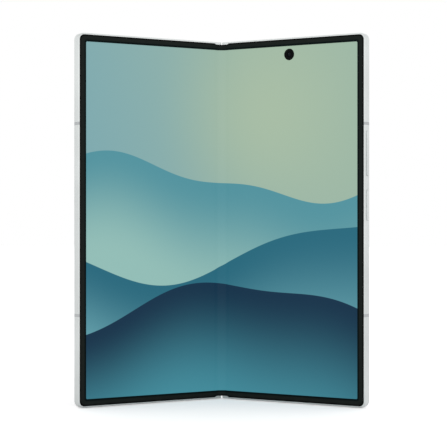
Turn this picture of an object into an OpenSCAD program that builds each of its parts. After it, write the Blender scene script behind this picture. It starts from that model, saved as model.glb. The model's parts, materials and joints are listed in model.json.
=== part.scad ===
// Book-style foldable phone, standing half open as a V on its bottom edges.
// Frame: X to the right, Y away from the viewer (the inner display faces -Y), Z up.
// Each half is drawn unfolded: u runs from the fold line to the outer edge, v from the
// front face to the back, z up. place() folds it about its own axis and mirrors the left half.

/* [Body] */
// Distance from the fold line to the outer edge, unfolded
half_w = 71.6; // [66:0.1:80]
// Height of the phone
body_h = 158.4; // [150:0.1:170]
// Thickness of one half
body_t = 4.2; // [4.1:0.05:5]
// Outer corner radius of the frame
corner_r = 2.8; // [1.8:0.1:6]
// Thickness of the frame's side walls
wall = 1.1; // [1:0.05:1.4]
// Width of the bare metal lip around the bezel
lip = 0.6; // [0.4:0.01:0.8]
// Rounding radius of the frame's outer edges
edge_r = 0.4; // [0.2:0.05:0.55]
// How far each half is folded up from flat at rest
fold_rest = 32; // [10:1:60]

/* [Layers] */
// Thickness of the black bezel trim
bezel_t = 0.35; // [0.3:0.01:0.4]
// Width of the border above and below the lit area
bezel_w = 3.55; // [2.5:0.05:6]
// Width of the border beside the lit area
bezel_side_w = 3.75; // [2.5:0.05:6]
// Corner radius of the lit area
lit_r = 0.6; // [0.5:0.1:3]
// Thickness of the folding display
display_t = 0.45; // [0.4:0.01:0.5]
// Thickness of the plate glued under the display
support_t = 0.25; // [0.2:0.01:0.3]
// Thickness of the frame's mid plate
mid_t = 0.6; // [0.5:0.05:0.7]
// Thickness of the back and outer glass
glass_t = 0.5; // [0.4:0.01:0.5]
// Metal rim left around the back glass
glass_rim = 0.55; // [0.4:0.05:0.7]
// Thickness of the outer display under its glass
outer_panel_t = 0.5; // [0.4:0.01:0.55]

/* [Hinge] */
// Distance of each fold axis from the centre line
axis_u = 1.25; // [1.2:0.01:1.4]
// Depth of each fold axis below the front face
axis_v = 1; // [0.98:0.01:1.05]
// Gap from the centre line to the end of each frame
end_gap = 0.3; // [0.27:0.01:0.4]
// Outer radius of the hinge cover about each fold axis
spine_r = 2.45; // [2.4:0.01:2.5]
// Wall of the hinge cover
spine_wall = 0.5; // [0.45:0.01:0.55]
// Depth at which the hinge cover and the housings begin
spine_top = 1.4; // [1.38:0.01:1.45]
// Gap between the ends of the hinge cover and the frame walls
spine_end_gap = 0.15; // [0.1:0.05:0.5]
// Thickness of the hinge cover's end plates
spine_end_t = 0.8; // [0.5:0.1:1.5]
// Thickness of the frame lip that covers the hinge when flat
back_lip_t = 0.6; // [0.5:0.01:0.65]
// Width of that lip from its end to the back glass
back_lip_w = 2.3; // [2:0.1:3]
// Half width of the display's bending zone
fold_zone = 5.5; // [5.3:0.1:6]
// Bend radius of the display's front face at rest
fold_r = 4.6; // [3.5:0.1:4.6]
// Where the rigid bezel trim ends next to the fold
bezel_open = 3.2; // [3.2:0.05:3.6]
// Length of one hinge housing
housing_len = 30; // [30:0.5:36]
// Distance between the middles of two hinge housings
housing_pitch = 57.2; // [50:0.1:60]
// Width of a bracket's arc rail and arm
rail_w = 5; // [3:0.1:6]
// Thickness of the arc rail
rail_t = 0.67; // [0.5:0.01:0.7]
// Distance of each arc rail from the middle of its housing
rail_dz = 7.5; // [6:0.1:8]
// Thickness of a bracket's arm
arm_t = 0.5; // [0.4:0.01:0.53]
// Where a bracket's foot ends
foot_u = 11; // [10.5:0.1:11.5]
// Length of a bracket's foot along the fold
foot_len = 14; // [12:0.5:18]
// Radial running gap of the arc rails
run_gap = 0.08; // [0.05:0.01:0.1]
// Side gap of the arc rails
side_gap = 0.15; // [0.1:0.01:0.3]
// Thickness of the wing plates
wing_t = 0.25; // [0.2:0.01:0.25]
// Extra tilt of the wing plates when the phone is closed
wing_tilt = 12; // [8:0.5:12]

/* [Keys] */
// Distance of the volume key's middle below the top edge
volume_drop = 50.9; // [50.5:0.1:54]
// Length of the volume key
volume_len = 19; // [14:0.1:22]
// Distance of the power key's middle below the top edge
power_drop = 72.8; // [70:0.1:80]
// Length of the power key
power_len = 13; // [10:0.1:16]
// Width of the keys across the phone's thickness
key_w = 1.8; // [1.4:0.05:2]
// How far the keys stand out of the frame
key_out = 0.35; // [0.25:0.01:0.5]
// Travel of the keys
key_travel = 0.25; // [0.15:0.01:0.3]
// Gap around the keys
key_gap = 0.06; // [0.04:0.01:0.1]

/* [Ports] */
// Width of the USB-C opening
usb_w = 8.34; // [8.34:0.01:8.4]
// Height of the USB-C opening
usb_h = 2.56; // [2.56:0.01:2.58]
// Wall of the USB-C shell
usb_wall = 0.12; // [0.1:0.01:0.12]
// Depth of the USB-C opening
usb_depth = 6.8; // [6.5:0.1:7.5]
// Width of the SIM tray's face
sim_face_w = 13; // [12.5:0.1:14]
// Height of the SIM tray's face
sim_face_t = 1.3; // [1.2:0.01:1.4]
// Length of the SIM tray behind its face
sim_len = 16; // [14.5:0.1:18]
// Distance of the SIM tray's middle from the outer edge
sim_inset = 15.6; // [11.6:0.1:17]
// Radius of the loudspeaker holes
speaker_hole_r = 0.55; // [0.4:0.01:0.6]
// Distance between the loudspeaker holes
speaker_pitch = 2.1; // [1.6:0.1:2.4]
// Height of the lower antenna lines
antenna_z = 39; // [35:0.1:42]
// Distance of the upper antenna lines below the top edge
antenna_drop = 38.3; // [35:0.1:39]
// Width of the antenna lines
antenna_w = 1.3; // [0.4:0.05:1.6]

/* [Cameras] */
// Distance of the inner camera from the fold line
selfie_u = 34.6; // [20:0.1:50]
// Distance of the inner and outer camera below the top edge
selfie_drop = 7.2; // [6:0.1:8]
// Radius of the hole in the inner display
selfie_r = 2.55; // [1.6:0.05:2.6]
// Distance of the rear cameras from the outer edge
cam_inset = 10.1; // [9:0.1:12]
// Distance of the top rear camera below the top edge
cam_drop = 11.2; // [10:0.1:13]
// Distance between two rear cameras
cam_pitch = 12.3; // [11.8:0.1:13]
// Outer radius of the rear lens rings
cam_r = 5.5; // [4.5:0.1:5.6]
// Width of the rear lens rings
cam_ring_w = 0.9; // [0.6:0.05:1.2]
// Half width of the camera island
island_r = 7; // [6.6:0.1:8]
// Height of the camera island above the back glass
island_t = 1.2; // [0.8:0.1:2]
// How far the lens rings stand out of the island
cam_out = 0.5; // [0.3:0.05:1]

/* [Inside] */
// Gap between packed inner pieces
pack_gap = 0.1; // [0.05:0.01:0.15]
// Thickness of the circuit boards
board_t = 0.5; // [0.4:0.05:0.6]
// Height of the chip shields
shield_t = 1.15; // [0.8:0.05:1.2]
// Width of the main battery
battery_w = 35; // [30:0.5:35]
// Height of the main battery
battery_h = 92; // [80:0.5:92]
// Thickness of the batteries
battery_t = 1.4; // [1.2:0.05:1.45]
// Outer radius of the charging coil
coil_r = 16; // [12:0.5:17]
// Thickness of the charging coil
coil_t = 0.3; // [0.2:0.05:0.35]
// Radius of the small screws' shafts
screw_r = 0.45; // [0.4:0.01:0.5]
// Radius of the small screws' heads
screw_head_r = 0.85; // [0.75:0.01:0.9]
// Height of the small screws' heads
screw_head_t = 0.3; // [0.25:0.01:0.3]

/* [Hidden] */
$fn = 48;
cut = 1;             // how far a cutter runs past the face it cuts
bond = 0.3;          // how far two solids of one node run into each other
arc_steps = 8;       // straight pieces in a rounded corner
island_steps = 24;   // straight pieces in a rounded end of the camera island
port_steps = 16;     // straight pieces in a rounded end of the USB-C opening

// Depths of the layers, from the front face
v_display = bezel_t;
v_support = v_display + display_t;
v_mid = v_support + support_t;
v_cavity = v_mid + mid_t;
v_glass = body_t - glass_t;
v_panel = v_glass - outer_panel_t;
v_middle = (v_mid + v_glass) / 2;

// Hinge
n_housings = 3;
rail_ro = spine_r - spine_wall - run_gap;
rail_ri = rail_ro - rail_t;
boss_r = rail_ri - run_gap;
bore_r = spine_r - spine_wall;
spine_back = axis_v + spine_r;
spine_z0 = wall + spine_end_gap;
pocket_floor = 0.35;                // mid plate left under a bracket's foot
arm_v = v_mid + pocket_floor;
rail_from = 15;                     // start and end of an arc rail about its axis, unfolded
rail_to = 170;
beam_u = 4.6;                       // beam that closes the cavity next to the hinge
beam_w = 1.2;
beam_v = v_mid + 0.4;
lip_v = body_t - back_lip_t;
foot_start = beam_u + 2.4;
foot_screw_u = (foot_start + foot_u) / 2;
foot_screw_dz = foot_len / 2 - 1.5;
housing_screw_dz = housing_len / 2 - 2;
wing_u0 = axis_u + 0.05;
wing_u1 = fold_zone - 0.1;
wing_v = v_support + 0.03;
wing_ratio = wing_tilt / 90;
wing_pivot = [wing_u1, wing_v + wing_t / 2];
notch_u = 4.4;
fold_gap = 0.05;
lip_r = 0.25;                       // rounding of the frame's back edge beside the fold
strip_v = 0.05;                     // the fold strips lie a little lower than the bezel
strip_t = 0.28;
strip_gap = 0.02;                   // from the fold strips to the frame's end walls

// Where the fold's bend begins and its centre, in the hinge's own frame
fold_n = [sin(fold_rest), cos(fold_rest)];
fold_centre = [0, (axis_u * fold_n[0] + axis_v * fold_n[1] + v_display - axis_v - fold_r) / fold_n[1]];

// Moves the hinge's frame so that the origin is the middle of the bounding box's base
y_low = axis_v - (half_w - edge_r - axis_u) * sin(fold_rest) - (axis_v - edge_r) * cos(fold_rest) - edge_r;
y_high = axis_v + (axis_u - end_gap - lip_r) * sin(fold_rest) + (body_t - lip_r - axis_v) * cos(fold_rest)
    + lip_r;
y_shift = -(y_low + y_high) / 2;

// Inner layout
feature_z = body_h - selfie_drop;
cam_u = half_w - cam_inset;
cam_z = body_h - cam_drop;
n_cameras = 3;
cam_body = cam_r * 2 - 0.6;
parts_u = foot_u + 2;               // first free line beside the bracket feet
board_u1 = cam_u - cam_body / 2 - pack_gap;
board_drop = 26.5;                  // from the top edge to the boards' lower edge
board_top_gap = 0.7;
board_low = body_h - board_drop;
battery_gap = 1.2;
column_u0 = parts_u + battery_w + battery_gap;
column_u1 = half_w - 4.6;
column_z0 = 62;
column_z1 = cam_z - (n_cameras - 1) * cam_pitch - cam_body / 2 - 1.6;
battery_z0 = board_low - battery_gap - battery_h;
shield_inset = 1;                   // from a board's edge to its chip shields
shield_drop = 4;
shield_gap = 0.6;
coil_w = 6;
volume_z = body_h - volume_drop;
power_z = body_h - power_drop;
outer_wall_u = half_w - wall;
key_flange_t = 0.35;
key_flange = 0.3;                   // how far a key's flange reaches past its cap
key_slack = 0.1;
key_r = 0.6;                        // corner radius of the keys
sim_r = 0.55;                       // corner radius of the SIM tray's face
switch_u1 = outer_wall_u - key_slack - key_flange_t - key_travel - key_slack;
switch_t = 1;
switch_inset = 1;
switch_u0 = switch_u1 - switch_t;
usb_u = half_w / 2;                 // in the middle of the bottom edge
usb_v = v_glass - usb_h / 2 - usb_wall;
usb_board_in = 11;                  // how far its board reaches to both sides of the opening
usb_board_out = 10;
mic_inset = 10;                     // from the USB-C opening to the lower microphone hole
mic_r = 0.385;
top_mic_inset = 8;                  // from the camera island to the upper microphone hole
speaker_inset = 14;                 // from the USB-C opening to the first loudspeaker hole
speaker_before = 1.6;               // how far the loudspeaker reaches past its holes
speaker_after = 6;
speaker_h = 21;
motor_shift = 1;                    // from the first loudspeaker hole to the motor
motor_w = 12;
motor_h = 8;
motor_gap = 3;                      // between the loudspeaker and the motor
usb_z1 = usb_depth + usb_wall * 4;   // back end of the USB-C shell
sim_u = half_w - sim_inset;
sim_t = 0.7;
sim_shoulder = 1.1;                 // how far the tray's face is wider than the tray, each side
sim_body_w = sim_face_w - sim_shoulder * 2;
sim_gap = 0.1;
sim_v = v_cavity + board_t + sim_gap * 2 + sim_t / 2;
magnet_w = 2.2;
magnet_len = 16;
magnet_z = [22, 46];
battery_clear = 5.2;                // from the cover half's battery to the magnets
sub_board_inset = 5;
hole_gap = 0.05;
v_key = v_middle - 0.1;
flash_r = 1.7;
flash_u = cam_u - island_r - flash_r - 1.2;
lens_t = 0.5;
lens_v = body_t + island_t + cam_out - lens_t - 0.15;
camera_body = 6.4;                  // side of the two small front cameras
outer_cam_u = 40;
outer_cam_r = 1.8;
earpiece_w = 14;
earpiece_h = 9;
earpiece_gap = 2.8;                 // from the earpiece to the outer camera
earpiece_u = outer_cam_u - camera_body / 2 - earpiece_gap - earpiece_w / 2;
earpiece_slot_w = 10;
earpiece_slot_h = 0.8;
n_speaker_holes = 5;

// ---------- helpers ----------
function arc(cx, cy, r, a0, a1, n = arc_steps) =
    [for (i = [0:n]) [cx + r * cos(a0 + (a1 - a0) * i / n), cy + r * sin(a0 + (a1 - a0) * i / n)]];

// Half outline in u and z, inset from the frame's outside, open at u0 on the fold side
function outline(inset, u0) = let (r = max(corner_r - inset, 0.2)) concat(
    [[u0, inset]],
    arc(half_w - inset - r, inset + r, r, -90, 0),
    arc(half_w - inset - r, body_h - inset - r, r, 0, 90),
    [[u0, body_h - inset]]);

// The same, with the step beside the fold that the bezel trim follows
function bezel_outline(inset, u0, step) = let (r = max(corner_r - inset, 0.2)) concat(
    [[u0, inset + step], [u0 + step * 1.6, inset]],
    arc(half_w - inset - r, inset + r, r, -90, 0),
    arc(half_w - inset - r, body_h - inset - r, r, 0, 90),
    [[u0 + step * 1.6, body_h - inset], [u0, body_h - inset - step]]);

function lit_outline(u0) = concat(
    [[u0, bezel_w]],
    arc(half_w - bezel_side_w - lit_r, bezel_w + lit_r, lit_r, -90, 0),
    arc(half_w - bezel_side_w - lit_r, body_h - bezel_w - lit_r, lit_r, 0, 90),
    [[u0, body_h - bezel_w]]);

function round_rect(w, h, r) = concat(
    arc(w / 2 - r, r - h / 2, r, -90, 0, 5), arc(w / 2 - r, h / 2 - r, r, 0, 90, 5),
    arc(r - w / 2, h / 2 - r, r, 90, 180, 5), arc(r - w / 2, r - h / 2, r, 180, 270, 5));

function stadium(w, h, n) = concat(
    arc(w / 2 - h / 2, 0, h / 2, -90, 90, n),
    arc(h / 2 - w / 2, 0, h / 2, 90, 270, n));

function housing_z(i) = body_h / 2 + (i - (n_housings - 1) / 2) * housing_pitch;
function cam_zi(i) = cam_z - i * cam_pitch;
function speaker_u(i) = usb_u + speaker_inset + i * speaker_pitch;

// A u-z outline made solid between two depths
module plate(points, v0, v1) {
    translate([0, v1, 0]) rotate([90, 0, 0]) linear_extrude(v1 - v0) polygon(points);
}

// A u-v outline made solid between two heights
module slab(points, z0, z1) {
    translate([0, 0, z0]) linear_extrude(z1 - z0) polygon(points);
}

module box(u, v, z) {
    translate([u[0], v[0], z[0]]) cube([u[1] - u[0], v[1] - v[0], z[1] - z[0]]);
}

// A round bar along v
module bar(u, z, r, v0, v1) {
    translate([u, v1, z]) rotate([90, 0, 0]) cylinder(r = r, h = v1 - v0);
}

// Folds a half, drawn unfolded, to its place at rest: side 1 is the right half, -1 the left
module place(side) {
    mirror([side < 0 ? 1 : 0, 0, 0])
        translate([axis_u, axis_v + y_shift, 0])
            rotate([0, 0, -fold_rest])
                translate([-axis_u, -axis_v, 0])
                    children();
}

module on_spine() {
    translate([0, y_shift, 0]) children();
}

module both_sides() {
    children();
    mirror([1, 0, 0]) children();
}

module both_ends() {
    children();
    translate([0, 0, body_h]) mirror([0, 0, 1]) children();
}

// ---------- spine ----------
function spine_section(r) = let (a = asin((spine_top - axis_v) / r)) concat(
    arc(axis_u, axis_v, r, a, 90),
    arc(-axis_u, axis_v, r, 90, 180 - a));

// Rail slots of every housing: side 1 holds the right half's rails, -1 the left half's
module at_rails(side) {
    for (i = [0:n_housings - 1])
        translate([0, 0, housing_z(i) - side * rail_dz]) children();
}

module hinge_cover() {
    window = rail_w / 2 + side_gap;
    color("gainsboro") on_spine() difference() {
        slab(spine_section(spine_r), spine_z0, body_h - spine_z0);
        slab(spine_section(bore_r), spine_z0 + spine_end_t, body_h - spine_z0 - spine_end_t);
        for (side = [1, -1])
            mirror([side < 0 ? 1 : 0, 0, 0]) at_rails(side)
                box([bore_r - 0.4, spine_r + axis_u + cut], [0, arm_v + arm_t + hole_gap],
                    [-window, window]);
        for (i = [0:n_housings - 1], dz = [-housing_screw_dz, housing_screw_dz])
            bar(0, housing_z(i) + dz, screw_r + hole_gap, spine_top, spine_back - spine_wall / 2);
    }
}

module hinge_housings() {
    fit = 0.03;
    window = rail_w / 2 + side_gap;
    color("dimgray") on_spine() for (i = [0:n_housings - 1]) {
        translate([0, 0, housing_z(i)]) difference() {
            slab(spine_section(bore_r - fit), -housing_len / 2, housing_len / 2);
            for (side = [1, -1])
                translate([side * axis_u, axis_v, -side * rail_dz - window]) difference() {
                    cylinder(r = bore_r, h = window * 2);
                    translate([0, 0, -cut]) cylinder(r = boss_r, h = window * 2 + cut * 2);
                }
            for (dz = [-housing_screw_dz, housing_screw_dz]) {
                bar(0, dz, screw_r + hole_gap, 0, spine_back);
                bar(0, dz, screw_head_r + hole_gap, 0, spine_top + screw_head_t);
            }
        }
    }
}

module housing_screws() {
    color("silver") on_spine()
        for (i = [0:n_housings - 1], dz = [-housing_screw_dz, housing_screw_dz]) {
            bar(0, housing_z(i) + dz, screw_head_r, spine_top, spine_top + screw_head_t);
            bar(0, housing_z(i) + dz, screw_r, spine_top, spine_back - spine_wall / 2 - hole_gap);
        }
}

// A layer of the bending zone at rest, between two depths, out to u1 on each side
module bent_layer(v0, v1, u1, z0, z1) {
    function side_point(u, v, side) = [
        side * (axis_u + (u - axis_u) * cos(fold_rest) + (v - axis_v) * sin(fold_rest)),
        axis_v - (u - axis_u) * sin(fold_rest) + (v - axis_v) * cos(fold_rest)];
    function bend(v, from, to) = arc(fold_centre[0], fold_centre[1], fold_r + v - v_display,
        90 + from, 90 + to, 16);
    slab(concat(
        [side_point(u1, v0, 1)], bend(v0, -fold_rest, fold_rest), [side_point(u1, v0, -1)],
        [side_point(u1, v1, -1)], bend(v1, fold_rest, -fold_rest), [side_point(u1, v1, 1)]), z0, z1);
}

module display_fold_zone() {
    z0 = wall + pack_gap;
    color("darkslategray") on_spine()
        bent_layer(v_display, v_support, fold_zone, z0, body_h - z0);
}

module bezel_fold_strips() {
    color("black") on_spine() both_ends()
        bent_layer(strip_v, strip_v + strip_t, bezel_open - fold_gap, wall + strip_gap, bezel_w);
}

// ---------- wing plates ----------
// Section of a wing plate: flat, with a round edge on the axis that it tilts about
function wing_section() = concat(
    [[wing_u0, wing_v + wing_t], [wing_u0, wing_v]],
    arc(wing_pivot[0], wing_pivot[1], wing_t / 2, -90, 90));

module wing_plate(side) {
    notch = rail_w / 2 + side_gap;
    z0 = spine_z0 + side_gap;
    place(side)
        translate(wing_pivot) rotate([0, 0, -fold_rest * wing_ratio]) translate(-wing_pivot)
            difference() {
                slab(wing_section(), z0, body_h - z0);
                at_rails(side) box([0, notch_u], [0, body_t], [-notch, notch]);
            }
}

module wing_plate_main() {
    color("silver") wing_plate(1);
}

module wing_plate_cover() {
    color("silver") wing_plate(-1);
}

// ---------- what both halves share ----------
// Section of the frame's top and bottom walls, with the rounded end beside the fold
function end_section() = let (r = axis_u - end_gap) concat(
    arc(axis_u, r, r, 180, 270),
    [[half_w, 0], [half_w, body_t]],
    arc(end_gap + lip_r, body_t - lip_r, lip_r, 90, 180, 4));

// The wall's own section, from its outer face inwards, with both outer edges rounded
function wall_section() = concat(
    arc(edge_r, edge_r, edge_r, 180, 270, 5), [[wall, 0], [wall, body_t]],
    arc(edge_r, body_t - edge_r, edge_r, 90, 180, 5));

// The frame's wall: straight along the bottom, outer and top edges, and turned round the corners
module wall_band() {
    both_ends() {
        intersection() {
            rotate([0, 90, 0]) linear_extrude(half_w - corner_r)
                polygon([for (p = wall_section()) [-p[0], p[1]]]);
            slab(end_section(), -cut, wall + cut);
        }
        translate([half_w - corner_r, 0, corner_r]) rotate([-90, 0, 0]) rotate_extrude(angle = 90)
            polygon([for (p = wall_section()) [corner_r - p[0], p[1]]]);
    }
    translate([0, 0, corner_r]) linear_extrude(body_h - corner_r * 2)
        polygon([for (p = wall_section()) [half_w - p[0], p[1]]]);
}

// Section of the beam beside the hinge, with the lip that covers the hinge when flat
function beam_section() = let (lip_u = end_gap + back_lip_w) [
    [end_gap, lip_v], [end_gap + 1.6, lip_v], [lip_u, lip_v - 0.3], [beam_u - 0.7, lip_v - 0.3],
    [beam_u, lip_v - 1], [beam_u, beam_v], [beam_u + beam_w, beam_v], [beam_u + beam_w, v_glass],
    [lip_u, v_glass], [lip_u, body_t], each arc(end_gap + lip_r, body_t - lip_r, lip_r, 90, 180, 4)];

module foot_screw_places() {
    for (dz = [-foot_screw_dz, foot_screw_dz])
        translate([foot_screw_u, 0, dz]) children();
}

module frame_half(side) {
    pocket = rail_w / 2 + side_gap;
    foot = foot_len / 2 + pack_gap;
    difference() {
        union() {
            wall_band();
            plate(outline(wall / 2, beam_u + beam_w - bond), v_mid, v_cavity);
            slab(beam_section(), wall / 2, body_h - wall / 2);
        }
        plate(bezel_outline(lip, bezel_open, wall - lip), -cut, bezel_t);
        plate(outline(glass_rim, end_gap + back_lip_w), v_glass, body_t + cut);
        at_rails(side) {
            box([beam_u - cut, foot_start + cut], [beam_v - cut, arm_v + arm_t + hole_gap],
                [-pocket, pocket]);
            box([beam_u, foot_start], [0, v_cavity + cut], [-pocket, pocket]);
            box([foot_start - pack_gap, foot_u + pack_gap], [arm_v, v_cavity + cut], [-foot, foot]);
            foot_screw_places() bar(0, 0, screw_r + hole_gap, 0, body_t / 2);
        }
        antenna_places() box([outer_wall_u - cut / 10, half_w + cut], [-cut, body_t + cut],
            [-antenna_w / 2, antenna_w / 2]);
    }
}

module antenna_places() {
    for (z = [antenna_z, body_h - antenna_drop])
        translate([0, 0, z]) children();
}

module antenna_lines() {
    difference() {
        antenna_places() translate([0, 0, -antenna_w / 2]) linear_extrude(antenna_w)
            polygon([for (p = wall_section()) [half_w - p[0], p[1]]]);
        plate(outline(lip, 0), -cut, bezel_t);
        plate(outline(glass_rim, 0), v_glass, body_t + cut);
    }
}

module bezel_half() {
    fit = 0.02;
    difference() {
        plate(bezel_outline(lip + fit, bezel_open, wall - lip), 0, bezel_t);
        plate(lit_outline(0), -cut, bezel_t + cut);
    }
}

module display_half() {
    plate(outline(wall + pack_gap, fold_zone + fold_gap), v_display, v_support);
}

module display_plate_half(side) {
    difference() {
        plate(outline(wall + pack_gap, fold_zone + fold_gap), v_support, v_mid);
        at_rails(side) foot_screw_places() bar(0, 0, screw_head_r, 0, v_mid - support_t / 2);
    }
}

// Arc rail, arm and foot of each rotating bracket
module bracket_half(side) {
    far = rail_ro * 3;
    at_rails(side) difference() {
        union() {
            translate([axis_u, axis_v, -rail_w / 2]) intersection() {
                difference() {
                    cylinder(r = rail_ro, h = rail_w);
                    translate([0, 0, -cut]) cylinder(r = rail_ri, h = rail_w + cut * 2);
                }
                linear_extrude(rail_w) polygon(concat([[0, 0]], arc(0, 0, far, rail_from, rail_to, 3)));
            }
            box([axis_u + rail_ri, foot_u], [arm_v, arm_v + arm_t], [-rail_w / 2, rail_w / 2]);
            box([foot_start, foot_u], [arm_v, arm_v + arm_t], [-foot_len / 2, foot_len / 2]);
        }
        foot_screw_places() bar(0, 0, screw_r + hole_gap, 0, body_t);
    }
}

module bracket_screws_half(side) {
    at_rails(side) foot_screw_places() {
        bar(0, 0, screw_r, v_mid + hole_gap, arm_v + arm_t);
        bar(0, 0, screw_head_r, arm_v + arm_t, arm_v + arm_t + screw_head_t);
    }
}

module magnets_half() {
    for (z = magnet_z)
        box([outer_wall_u - pack_gap - magnet_w, outer_wall_u - pack_gap], [v_cavity, v_panel - pack_gap],
            [z, z + magnet_len]);
}

module back_cover(rim_gap) {
    plate(outline(glass_rim + rim_gap, end_gap + back_lip_w + rim_gap), v_glass, body_t);
}

// ---------- main half ----------
module frame_main() {
    usb_out = [usb_w + usb_wall * 2 + hole_gap, usb_h + usb_wall * 2];
    flange_w = key_w / 2 + key_flange + key_slack;
    color("gainsboro") place(1) difference() {
        frame_half(1);
        // USB-C receptacle
        translate([usb_u, usb_v, -cut])
            linear_extrude(wall + cut * 2) polygon(stadium(usb_out[0], usb_out[1], port_steps));
        box([usb_u - usb_out[0] / 2, usb_u + usb_out[0] / 2], [0, v_cavity + cut],
            [wall, usb_z1 + hole_gap]);
        // loudspeaker and microphone holes
        for (i = [0:n_speaker_holes - 1])
            translate([speaker_u(i), v_middle, -cut]) cylinder(r = speaker_hole_r, h = wall + cut * 2);
        translate([usb_u - mic_inset, v_middle, -cut]) cylinder(r = mic_r, h = wall + cut * 2);
        translate([cam_u - island_r - top_mic_inset, v_middle, body_h - wall - cut])
            cylinder(r = mic_r, h = wall + cut * 2);
        // inner camera
        bar(selfie_u, feature_z, selfie_r - hole_gap, 0, body_t - cut);
        // keys
        for (key = [[volume_z, volume_len], [power_z, power_len]]) {
            half = key[1] / 2;
            translate([outer_wall_u - cut, v_key, key[0]]) rotate([0, 90, 0]) linear_extrude(wall + cut * 2)
                polygon(round_rect(key[1] + key_gap * 2, key_w + key_gap * 2, key_r + key_gap));
            box([switch_u0, outer_wall_u], [v_key - flange_w, v_key + flange_w],
                [key[0] - half - key_flange - key_slack, key[0] + half + key_flange + key_slack]);
        }
    }
}

module bezel_main() {
    color([0.12, 0.13, 0.14]) place(1) bezel_half();
}

module display_main() {
    color([0.35, 0.6, 0.62]) place(1) difference() {
        display_half();
        bar(selfie_u, feature_z, selfie_r, 0, body_t);
    }
}

module display_plate_main() {
    usb_half = usb_w / 2 + usb_wall + hole_gap;
    color("slategray") place(1) difference() {
        display_plate_half(1);
        bar(selfie_u, feature_z, selfie_r, 0, body_t);
        box([usb_u - usb_half, usb_u + usb_half], [0, body_t], [0, usb_z1 + hole_gap]);
    }
}

module back_glass() {
    color("white") place(1) difference() {
        back_cover(hole_gap);
        island_block(hole_gap, 0, body_t + cut);
        bar(flash_u, cam_z, flash_r + hole_gap, 0, body_t + cut);
    }
}

module hinge_brackets_main() {
    color("silver") place(1) bracket_half(1);
}

module bracket_screws_main() {
    color("gray") place(1) bracket_screws_half(1);
}

module antenna_lines_main() {
    color("lightgray") place(1) antenna_lines();
}

module magnets_main() {
    color("gray") place(1) magnets_half();
}

// The camera island's outline, grown by a gap, made solid between two depths
module island_block(gap, v0, v1) {
    width = (island_r + gap) * 2;
    translate([cam_u, v1, (cam_zi(0) + cam_zi(n_cameras - 1)) / 2])
        rotate([90, 0, 0]) linear_extrude(v1 - v0) rotate(90)
            polygon(stadium((n_cameras - 1) * cam_pitch + width, width, island_steps));
}

module camera_island() {
    color("gainsboro") place(1) difference() {
        island_block(0, v_glass, body_t + island_t);
        for (i = [0:n_cameras - 1])
            bar(cam_u, cam_zi(i), cam_r + hole_gap, 0, body_t + island_t + cut);
    }
}

module lens_rings() {
    color("silver") place(1) for (i = [0:n_cameras - 1]) difference() {
        bar(cam_u, cam_zi(i), cam_r, v_glass, body_t + island_t + cam_out);
        bar(cam_u, cam_zi(i), cam_r - cam_ring_w, 0, body_t + island_t + cam_out + cut);
    }
}

module lens_glasses() {
    color([0.1, 0.11, 0.13]) place(1) for (i = [0:n_cameras - 1])
        bar(cam_u, cam_zi(i), cam_r - cam_ring_w, lens_v, lens_v + lens_t);
}

module rear_cameras() {
    color("dimgray") place(1) for (i = [0:n_cameras - 1]) {
        box([cam_u - cam_body / 2, cam_u + cam_body / 2], [v_cavity, v_glass],
            [cam_zi(i) - cam_body / 2, cam_zi(i) + cam_body / 2]);
        bar(cam_u, cam_zi(i), cam_r - cam_ring_w - hole_gap, v_glass - bond, lens_v);
    }
}

module flash() {
    color("lightyellow") place(1) bar(flash_u, cam_z, flash_r, v_cavity + board_t, body_t);
}

// A small camera that looks through a hole, its lens at v_lens on the side it faces
module small_camera(u, r, v_lens, v0, v1) {
    box([u - camera_body / 2, u + camera_body / 2], [v0, v1],
        [feature_z - camera_body / 2, feature_z + camera_body / 2]);
    bar(u, feature_z, r, min(v_lens, v1 - bond), max(v_lens, v0 + bond));
}

module selfie_camera() {
    color([0.08, 0.08, 0.1]) place(1)
        small_camera(selfie_u, selfie_r - hole_gap * 2, v_display + 0.05, v_cavity, v_panel);
}

module main_board() {
    half = camera_body / 2 + pack_gap;
    top = body_h - wall - board_top_gap;
    color("seagreen") place(1) difference() {
        plate([[parts_u, board_low], [parts_u, top], [board_u1, top], [board_u1, column_z1],
            [column_u1, column_z1], [column_u1, column_z0], [column_u0, column_z0], [column_u0, board_low]],
            v_cavity, v_cavity + board_t);
        box([selfie_u - half, selfie_u + half], [0, body_t], [feature_z - half, feature_z + half]);
    }
}

module chip_shields() {
    v0 = v_cavity + board_t;
    half = camera_body / 2 + shield_inset;
    shields = [board_low + shield_inset, body_h - shield_drop];
    color("silver") place(1) {
        box([parts_u + shield_inset, selfie_u - half], [v0, v0 + shield_t], shields);
        box([selfie_u + half, flash_u - flash_r - shield_gap], [v0, v0 + shield_t], shields);
        box([column_u0 + shield_inset, column_u1 - shield_inset], [v0, v0 + shield_t],
            [column_z0 + shield_inset, column_z1 - shield_inset]);
    }
}

module battery_main() {
    color([0.2, 0.2, 0.22]) place(1)
        box([parts_u, parts_u + battery_w], [v_cavity, v_cavity + battery_t],
            [battery_z0, battery_z0 + battery_h]);
}

module charging_coil() {
    u = parts_u + battery_w / 2;
    z = battery_z0 + battery_h / 2;
    v0 = v_cavity + battery_t;
    color("peru") place(1) difference() {
        bar(u, z, coil_r, v0, v0 + coil_t);
        bar(u, z, coil_r - coil_w, 0, body_t);
    }
}

module usb_c_receptacle() {
    tongue_t = 0.7;
    tongue_back = 0.8;
    color("silver") place(1) translate([usb_u, usb_v, 0]) {
        difference() {
            linear_extrude(usb_z1)
                polygon(stadium(usb_w + usb_wall * 2, usb_h + usb_wall * 2, port_steps));
            translate([0, 0, -cut]) linear_extrude(usb_depth + cut)
                polygon(stadium(usb_w, usb_h, port_steps));
        }
        translate([-usb_w * 0.4, -tongue_t / 2, tongue_back])
            cube([usb_w * 0.8, tongue_t, usb_z1 - tongue_back - usb_wall * 2]);
    }
}

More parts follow.
